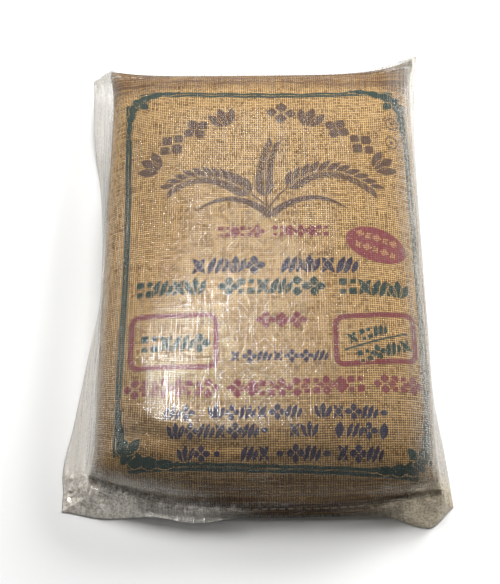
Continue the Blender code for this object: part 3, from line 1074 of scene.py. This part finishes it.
# %% Outline of the bag
LEFT_SIDE = ((-0.305, -0.246), (-0.255, -0.253), (-0.190, -0.243), (-0.095, -0.230), (-0.010, -0.219),
             (0.060, -0.220), (0.150, -0.227), (0.220, -0.238), (0.316, -0.243))
RIGHT_SIDE = ((-0.300, 0.233), (-0.230, 0.227), (-0.160, 0.219), (-0.060, 0.2175), (0.060, 0.218),
              (0.180, 0.219), (0.250, 0.219), (0.335, 0.224))
MOUTH = ((-0.246, -0.302), (-0.190, -0.311), (-0.140, -0.309), (-0.085, -0.317), (-0.030, -0.310),
         (0.060, -0.309), (0.150, -0.311), (0.200, -0.324), (0.233, -0.298))
SEALED_END = ((-0.243, 0.317), (-0.150, 0.320), (-0.050, 0.325), (0.060, 0.329), (0.150, 0.331),
              (0.224, 0.344))
FLOOR_FILM = 0.0009
SKIRT_TIP = ((-0.320, FLOOR_FILM), (0.150, FLOOR_FILM), (0.330, 0.032))
SEALED_HEIGHT, SEALED_RIGHT_LIFT = 0.030, 0.022
LIP_HALF_GAP = 0.0006
FILM_GROWTH = 0.0014
UPPER_ROUNDS, LOWER_ROUNDS = (0, 60, 25, 15), (220, 90, 40, 20)
FILM_COLUMNS, SKIRT_COLUMNS, FILM_ROWS, MOUTH_ROWS, SEALED_ROWS = 136, 20, 184, 16, 16


def bend(points, at):
    """Smooth curve through (position, value) points: a cubic in each gap whose slopes are
    the mean slopes of both neighbours, and level at a peak or a dip."""
    xs, ys = np.array(points, float).T
    step = np.diff(ys) / np.diff(xs)
    slope = np.concatenate([[step[0]], (step[1:] + step[:-1]) / 2, [step[-1]]])
    flat = np.concatenate([[False], step[1:] * step[:-1] <= 0, [False]])
    slope[flat] = 0.0
    at = np.clip(at, xs[0], xs[-1])
    k = np.clip(np.searchsorted(xs, at) - 1, 0, len(xs) - 2)
    width = xs[k + 1] - xs[k]
    t = (at - xs[k]) / width
    return (
        ys[k] * (1 + 2 * t) * (1 - t) ** 2 + ys[k + 1] * t * t * (3 - 2 * t)
        + slope[k] * width * t * (1 - t) ** 2 - slope[k + 1] * width * t * t * (1 - t)
    )


def with_skirts(sheet):
    """The sheet with columns added on both sides, out to the free edges of the skirts."""
    share = np.arange(1, SKIRT_COLUMNS + 1)[None, :, None] / SKIRT_COLUMNS
    parts = []
    for side, edge in ((sheet[:, :1], LEFT_SIDE), (sheet[:, -1:], RIGHT_SIDE)):
        tip = side.copy()
        tip[..., 0] = bend(edge, side[..., 1])
        tip[..., 2] = bend(SKIRT_TIP, side[..., 1])
        parts.append(side + (tip - side) * share)
    return np.concatenate([parts[0][:, ::-1], sheet, parts[1]], axis=1)


def with_ends(sheet, side):
    """The sheet with rows added at both ends: down to the lip of the mouth, which lies on
    the floor, and out to the sealed end, whose right corner stands up."""
    near, far = sheet[:1], sheet[-1:]
    lip, seal = near.copy(), far.copy()
    lip[..., 1] = bend(MOUTH, near[..., 0])
    lip[..., 2] = FLOOR_FILM + LIP_HALF_GAP * (1 + side)
    seal[..., 1] = bend(SEALED_END, far[..., 0])
    lift = SEALED_RIGHT_LIFT * np.clip(2 * far[..., 0] / SACK_WIDTH, 0, 1) ** 4
    seal[..., 2] = SEALED_HEIGHT + lift + LIP_HALF_GAP * side
    down = np.arange(MOUTH_ROWS, 0, -1)[:, None, None] / MOUTH_ROWS
    out = np.arange(1, SEALED_ROWS + 1)[:, None, None] / SEALED_ROWS
    return np.concatenate([near + (lip - near) * down, sheet, far + (seal - far) * out])


def halved(grid):
    """A grid with a new row and column at the middle of each gap."""
    rows = np.zeros((2 * grid.shape[0] - 1, grid.shape[1]))
    rows[::2], rows[1::2] = grid, (grid[1:] + grid[:-1]) / 2
    both = np.zeros((rows.shape[0], 2 * grid.shape[1] - 1))
    both[:, ::2], both[:, 1::2] = rows, (rows[:, 1:] + rows[:, :-1]) / 2
    return both


def stretched(sheet, side, rounds):
    """Height of the film: relaxed between its fixed edges on every eighth, fourth, second
    and single point in turn, as high as its neighbours' mean or the cloth below it."""
    support = side * sheet[..., 2]
    height = support[::8, ::8].copy()
    for stride, count in zip((8, 4, 2, 1), rounds):
        if stride < 8:
            height = halved(height)
        ground = support[::stride, ::stride]
        height[[0, -1]], height[:, [0, -1]] = ground[[0, -1]], ground[:, [0, -1]]
        height = np.maximum(height, ground)
        for _ in range(count):
            mean = (height[:-2, 1:-1] + height[2:, 1:-1] + height[1:-1, :-2] + height[1:-1, 2:]) / 4
            height[1:-1, 1:-1] = np.maximum(mean, ground[1:-1, 1:-1])
    return side * height


def film_start(side):
    """The cloth grown by the film's gap along its normal, with skirts and ends added."""
    across, along = np.meshgrid(
        even_stations(ARC_ACROSS, FILM_COLUMNS),
        np.concatenate([[-HEM_EDGE], even_stations(ARC_ALONG, FILM_ROWS - 2), [HEM_EDGE]]),
    )
    sheet = cloth(across, along, side)
    normal = np.cross(np.gradient(sheet, axis=1), np.gradient(sheet, axis=0)) * side
    normal /= np.linalg.norm(normal, axis=-1, keepdims=True) + 1e-12
    grown = sheet + normal * FILM_GROWTH
    grown[:, [0, -1]] = sheet[:, [0, -1]]
    grown[:, 0, 0] -= FILM_GROWTH
    grown[:, -1, 0] += FILM_GROWTH
    grown[0, :, 1] = sheet[0, :, 1] - FILM_GROWTH
    grown[-1, :, 1] = sheet[-1, :, 1] + FILM_GROWTH
    return with_ends(with_skirts(grown), side)


film_upper, film_lower = film_start(1), film_start(-1)
under_upper = film_upper[..., 2].copy()
film_upper[..., 2] = stretched(film_upper, 1, UPPER_ROUNDS)
film_lower[..., 2] = np.maximum(stretched(film_lower, -1, LOWER_ROUNDS), FLOOR_FILM)
side_height = (film_upper[:, [0, -1], 2] + film_lower[:, [0, -1], 2]) / 2
film_upper[:, [0, -1], 2] = film_lower[:, [0, -1], 2] = side_height
print("film grid", film_upper.shape[:2], "widest gap over the cloth",
      round(float((film_upper[..., 2] - under_upper).max()), 4), "m")

# %% [markdown]
# ## Wrinkles in the film
#
# Thin film has no stretch left in it, so it shows every pull: long folds run down both
# skirts, fine creases cross the near end where it turns down, and both loose near corners
# are crumpled. Each kind is a height that is added to the film, strongest in its own
# region. A folded wave, 1 - |sin|, has the sharp crest of a crease, and every wave below is
# its height times the crest of place / spacing, plus a share of a slow wandering.

# %% Wrinkles
def crest(phase, sharp=2.0):
    """Folded wave from 0 to 1 with sharp crests at whole numbers."""
    return (1 - np.abs(np.sin(math.pi * phase))) ** sharp


def wandering(x, y, size, seed):
    """Slow change of phase, about -1 to 1, so that folds aren't straight."""
    return (np.sin(x / size + 1.7 * seed) * np.cos(y / (1.3 * size) + 2.3 * seed)
            + 0.5 * np.sin((x + y) / (0.6 * size) + seed))


def wrinkles(x, y):
    """Height of the wrinkles in metres at a plan point, and how crumpled the film is."""
    left_out = region(-x, 0.185, 0.215)
    right_out = region(x, 0.180, 0.212)
    near_out = region(-y, 0.250, 0.292)
    far_out = region(y, 0.285, 0.315)
    corner = region(-y - 0.26 * x, 0.306, 0.330)
    flap = region(-y + 0.26 * x, 0.326, 0.352)
    lengthwise = (
        0.0016 * crest(x / 0.021 + 0.35 * wandering(x, y, 0.09, 1.0) + y / 0.35, 1.6)
        + 0.0008 * crest(x / 0.009 + 0.40 * wandering(x, y, 0.05, 2.0) - y / 0.20, 2.0)
    )
    crosswise = (
        0.0009 * crest(y / 0.0085 + 0.45 * wandering(x, y, 0.07, 3.0) + x / 0.60, 2.5)
        + 0.0006 * crest(y / 0.0047 + 0.50 * wandering(x, y, 0.04, 4.0) - x / 0.40, 3.0)
    )
    crumpled = (
        0.0030 * crest((0.8 * x + 0.6 * y) / 0.023 + 0.5 * wandering(x, y, 0.030, 5.0), 1.6)
        + 0.0024 * crest((0.5 * x - 0.9 * y) / 0.019 + 0.5 * wandering(x, y, 0.025, 6.0), 1.8)
        + 0.0013 * crest((1.0 * x + 0.2 * y) / 0.0095 + 0.5 * wandering(x, y, 0.018, 7.0), 2.0)
        + 0.0010 * crest((0.7 * x - 0.7 * y) / 0.0075 + 0.7 * wandering(x, y, 0.014, 9.0), 1.5)
        + 0.0008 * crest((0.3 * x + 0.9 * y) / 0.0063 + 0.7 * wandering(x, y, 0.012, 10.0), 1.5)
    )
    face = 0.00035 * crest(x / 0.0070 + 0.5 * wandering(x, y, 0.08, 8.0), 2.0)
    loose = np.maximum(corner, 0.75 * flap)
    height = (
        lengthwise * np.maximum(left_out, right_out) * (1 - 0.7 * loose)
        + crosswise * near_out * (1 - 0.6 * loose)
        + 0.5 * crumpled * far_out
        + crumpled * loose
        + face * (1 - np.maximum.reduce([left_out, right_out, near_out, far_out]))
    )
    return height, loose


def from_edges(count, steepness=60):
    """0 at the first and last of a count of stations, and 1 a sixtieth of the way in."""
    share = np.linspace(0, 1, count)
    return np.clip(np.minimum(share, 1 - share) * steepness, 0, 1)


film_x, film_y = film_upper[..., 0], film_upper[..., 1]
edge_fade = np.minimum(from_edges(film_x.shape[0])[:, None], from_edges(film_x.shape[1])[None])
wrinkle_height, looseness = wrinkles(film_x, film_y)
film_upper[..., 2] += wrinkle_height * edge_fade
film_gap = film_upper[..., 2] - under_upper
print("highest wrinkle", round(float(wrinkle_height.max()), 4), "m")

# %% [markdown]
# ## Haze and cling
#
# Where film touches the cloth it shows it clearly, and where there is air below it, it
# looks milky. So the film's points carry values that its material reads. Haze comes from
# the height above the cloth and from the folds, and along the left edge of the face it also
# holds a painted sheen, a white band where the film curves down. Cling lets the weave press
# through into the gloss. Gloss is low where the film turns down at both ends. Turned is 1
# where streaks and creases run across the sack and not along it, and it lays the painted
# highlights of the creases. Loose is 1 where the film is crumpled and also on the right
# skirt, and it lays the painted shade of dark flecks. Warm is where the film has the tint of
# the jute behind its folds.

# %% Haze
CLEAR_HAZE = 0.02
UNDERSIDE_HAZE, NEAR_CORNER_HAZE = 0.35, 0.38

off_left = region(-film_x, 0.200, 0.226)
off_right = region(film_x, 0.196, 0.214)
off_near = region(-film_y, 0.287, 0.303)
off_far = region(film_y, 0.302, 0.316)
off_cloth = np.maximum.reduce([off_left, off_right, off_near, off_far])
lifted = region(film_gap, 0.0006, 0.0120)
# Painted sheen: a white band along the left edge of the face, where the film curves down over the side.
left_edge_sheen = region(-film_x, 0.188, 0.206)
right_edge = region(film_x, 0.165, 0.198)
near_end = region(-film_y, 0.235, 0.262)
near_corner = region(-film_y, 0.276, 0.297) * region(np.abs(film_x), 0.140, 0.190)

haze_parts = (
    # weight, where it counts
    (0.14, lifted * (1 - near_end)),
    (0.56, off_left),
    (0.50, off_right),
    (0.02, off_far),
    (0.50, looseness),
    (NEAR_CORNER_HAZE, near_corner),
    (0.30, right_edge),
    # Painted sheen along the left edge, stronger towards the near end.
    (0.10 + 0.22 * region(-film_y, -0.10, 0.06), left_edge_sheen),
)
haze_and_sheen = np.clip(CLEAR_HAZE + sum(weight * part for weight, part in haze_parts), 0, 1)
print("haze from", round(float(haze_and_sheen.min()), 2), "to", round(float(haze_and_sheen.max()), 2))

# %% Values of the film
cling = (1 - region(film_gap, 0.0008, 0.0050)) * (1 - off_cloth) * (1 - region(film_y, 0.262, 0.285))
smooth_near_end = near_end * (1 - looseness) * (1 - near_corner)
gloss = 1 - 0.88 * smooth_near_end - 0.75 * region(film_y, 0.255, 0.300)
turned = region(-film_y, 0.269, 0.293) * (1 - 0.5 * looseness) * (1 - 0.55 * off_near)
# Loose also lays painted shade: on the right skirt it is raised only so that dark flecks darken the
# film.
loose = np.clip(looseness + near_corner + 0.75 * off_right, 0, 1)
warm = region(-film_y + 0.26 * film_x, 0.310, 0.345) * region(film_x, 0.060, 0.130)

film_values = {
    # upper sheet, lower sheet
    "haze_and_sheen": (haze_and_sheen, UNDERSIDE_HAZE * (1 + near_corner)),
    "cling": (cling, np.zeros_like(haze_and_sheen)),
    "gloss": (gloss, np.ones_like(haze_and_sheen)),
    "turned": (turned, np.zeros_like(haze_and_sheen)),
    "loose": (loose, np.zeros_like(haze_and_sheen)),
    "warm": (warm, np.zeros_like(haze_and_sheen)),
}
for upper_value, lower_value in film_values.values():
    lower_value[:, [0, -1]] = upper_value[:, [0, -1]]


def thread_beyond(value, table, per_unit):
    """Thread coordinate, carried on past the cloth's edge by a length for each unit."""
    held = np.clip(value, -1, 1)
    return np.interp(held, steps, table) + (value - held) * per_unit


film_across, film_along = cloth_place(film_x, film_y)
film_threads = np.stack([thread_beyond(film_across, ARC_ACROSS, 0.2),
                         thread_beyond(film_along, ARC_ALONG, 0.3)], -1)
film = closed_skin("clear_bag_film", film_upper, film_lower, (film_threads, film_threads), **film_values)
print("film", len(film.data.polygons), "faces")

# %% [markdown]
# ## Film as a material
#
# The film is a very thin plastic skin. Light that misses it goes straight on, so it is
# mostly see-through by its alpha and needs no refraction. A part of it is metallic, which
# gives the small see-through part a strong gloss, as both faces of real film have. Fine
# streaks and the weave under it break up that gloss. The thin bright creases are painted
# highlights, lines of whiter film where it turns down at the near end. Dark flecks are
# painted shade for the crumple of the loose corners that is too fine for the mesh, and they
# also darken the right skirt.

# %% Film material
CLEAR_FILM, MILKY_FILM = linear(206, 204, 198), linear(208, 202, 193)
# The warm colour is the tint of the jute behind the folds; the dark one is the colour of the painted
# shade flecks.
WARM_FILM, CRUMPLE_SHADE = linear(206, 192, 167), linear(140, 130, 112)
MOST_OPAQUE = 0.88


def make_film():
    """Alpha is milk plus skin, less where the weave doesn't press the film, plus the painted highlights
    of the creases.
    """
    material, n, shader = new_material("clear_film")
    weave = woven(n)
    haze_and_sheen, cling, turned = (n.attribute(name) for name in ("haze_and_sheen", "cling", "turned"))
    s, t, _ = n.split(n.threads())
    place = n.add("ShaderNodeTexCoord").outputs["Object"]

    lengthwise = n.stretched(s, t, 420.0, 9.0, 3.0, 0.6)
    crosswise = n.stretched(s, t, 9.0, 300.0, 3.0, 0.6)
    streaks = n.ease(n.blend(turned, lengthwise, crosswise), 0.35, 0.68)
    speckle = n.ease(n.noise(place, 420.0, 2.0), 0.38, 0.62)
    cloud = n.scaled(n.noise(place, 26.0, 3.0), 0.5, n.times(speckle, 0.5))
    milk_and_sheen = n.times(haze_and_sheen, n.scaled(streaks, 0.55, n.scaled(cloud, 0.7, 0.40)))
    skin = n.times(n.scaled(streaks, 0.11, 0.025), n.attribute("gloss"))
    crown = n.times(n.ease(weave["Height"], 0.30, 0.85, 0.05, 1.0), n.scaled(weave["Ragged"], 2.2, 0.5))
    alpha = n.times(n.plus(milk_and_sheen, skin), n.blend(cling, 1.0, crown))
    # Painted highlights: thin lines of whiter film across the near end, where it turns down.
    crease_highlight = n.math("ABSOLUTE", n.minus(n.stretched(s, t, 7.0, 170.0, 1.0, 0.5, 5.0), 0.5))
    crease_highlight = n.times(n.times(n.ease(crease_highlight, 0.017, 0.004), turned), 0.45)
    alpha = n.plus(n.plus(alpha, crease_highlight), 0.01)
    n.tree.links.new(n.math("MINIMUM", alpha, MOST_OPAQUE), shader.inputs["Alpha"])

    tint = n.mix(n.attribute("warm"), n.mix(haze_and_sheen, CLEAR_FILM, MILKY_FILM), WARM_FILM)
    # Painted shade: dark flecks on the crumpled corners and on the right skirt.
    crumple_shade = n.ease(n.noise(place, 300.0, 4.0, 0.65), 0.42, 0.62, 0.0, 0.75)
    crumple_shade = n.times(crumple_shade, n.attribute("loose"))
    n.tree.links.new(n.mix(crumple_shade, tint, CRUMPLE_SHADE), shader.inputs["Base Color"])
    shader.inputs["Metallic"].default_value = 0.45
    n.tree.links.new(n.ease(haze_and_sheen, 0.1, 0.7, 0.14, 0.34), shader.inputs["Roughness"])
    shader.inputs["IOR"].default_value = 1.5

    pressed = n.times(n.times(weave["Height"], cling), 0.7)
    crumple = n.times(n.noise(place, 95.0, 3.0), n.times(haze_and_sheen, 4.0))
    relief = n.plus(n.plus(pressed, n.times(streaks, 0.5)), crumple)
    bumped(n, shader, relief, 0.0002)
    return material


film.data.materials.append(make_film())
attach(film, "root")
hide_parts("clear_bag")

# %% [markdown]
# ## Floor and light
#
# A plain pale floor and soft studio light. The main light is a wide soft box above the
# far end, so the face is bright and the near end falls into shade, and two small boxes fill
# both sides. The film needs a room to mirror: two windows overhead, which are the white
# patches left of the middle, and pale walls. These are only mirrored, so that they don't
# wash out the jute.

# %% Stage
FLOOR_HALF = 4.0
WORLD_STRENGTH = 0.08

floor_mesh = bpy.data.meshes.new("floor")
floor_mesh.from_pydata(
    [(-FLOOR_HALF, -FLOOR_HALF, 0), (FLOOR_HALF, -FLOOR_HALF, 0), (FLOOR_HALF, FLOOR_HALF, 0),
     (-FLOOR_HALF, FLOOR_HALF, 0)],
    [], [(0, 1, 2, 3)],
)
floor = bpy.data.objects.new("floor", floor_mesh)
bpy.context.scene.collection.objects.link(floor)
floor_paint, n, shader = new_material("floor paint")
shader.inputs["Base Color"].default_value = linear(243, 243, 242)
shader.inputs["Roughness"].default_value = 0.9
shader.inputs["Specular IOR Level"].default_value = 0.0
floor_mesh.materials.append(floor_paint)

world = bpy.data.worlds.new("studio")
world.use_nodes = True
background = world.node_tree.nodes["Background"]
background.inputs["Color"].default_value = (1.0, 1.0, 1.0, 1.0)
background.inputs["Strength"].default_value = WORLD_STRENGTH
bpy.context.scene.world = world


def soft_box(name, place, target, width, depth, watts, lit=True, mirrored=True):
    """Rectangular light at a place, turned towards a target, both about the sack. One that
    isn't lit is only mirrored by the film, and one that isn't mirrored only lights."""
    data = bpy.data.lights.new(name, "AREA")
    data.shape = "RECTANGLE"
    data.size, data.size_y, data.energy = width, depth, watts
    obj = bpy.data.objects.new(name, data)
    start = SACK_CENTRE + Vector(place)
    aim = SACK_CENTRE + Vector(target) - start
    obj.matrix_world = Matrix.Translation(start) @ aim.to_track_quat("-Z", "Y").to_matrix().to_4x4()
    obj.visible_diffuse, obj.visible_glossy = lit, mirrored
    bpy.context.scene.collection.objects.link(obj)


soft_box("main light", (0.22, 1.25, 2.45), (0.0, 0.0, 0.05), 1.6, 1.0, 64, mirrored=False)
soft_box("window", (-0.60, 0.07, 2.0), (-0.60, 0.07, 0.0), 0.34, 1.24, 56, lit=False)
soft_box("second window", (-0.30, 0.74, 2.0), (-0.30, 0.74, 0.0), 0.24, 0.40, 10, lit=False)
soft_box("pale wall", (-0.10, 1.50, 2.0), (-0.10, 1.50, 0.0), 1.00, 1.60, 13, lit=False)
soft_box("front wall", (0.0, -2.3, 1.1), (0.0, 0.0, 0.1), 3.0, 1.4, 14, lit=False)
soft_box("left wall", (-2.3, 0.0, 1.1), (0.0, 0.0, 0.1), 3.0, 1.4, 26, lit=False)
soft_box("right wall", (2.3, 0.0, 1.1), (0.0, 0.0, 0.1), 3.0, 1.4, 2, lit=False)
soft_box("right fill", (1.7, 1.7, 1.4), (0.1, 0.15, 0.1), 0.8, 0.8, 82, mirrored=False)
soft_box("left fill", (-1.9, 1.0, 1.0), (-0.1, 0.0, 0.1), 0.8, 0.8, 20, mirrored=False)
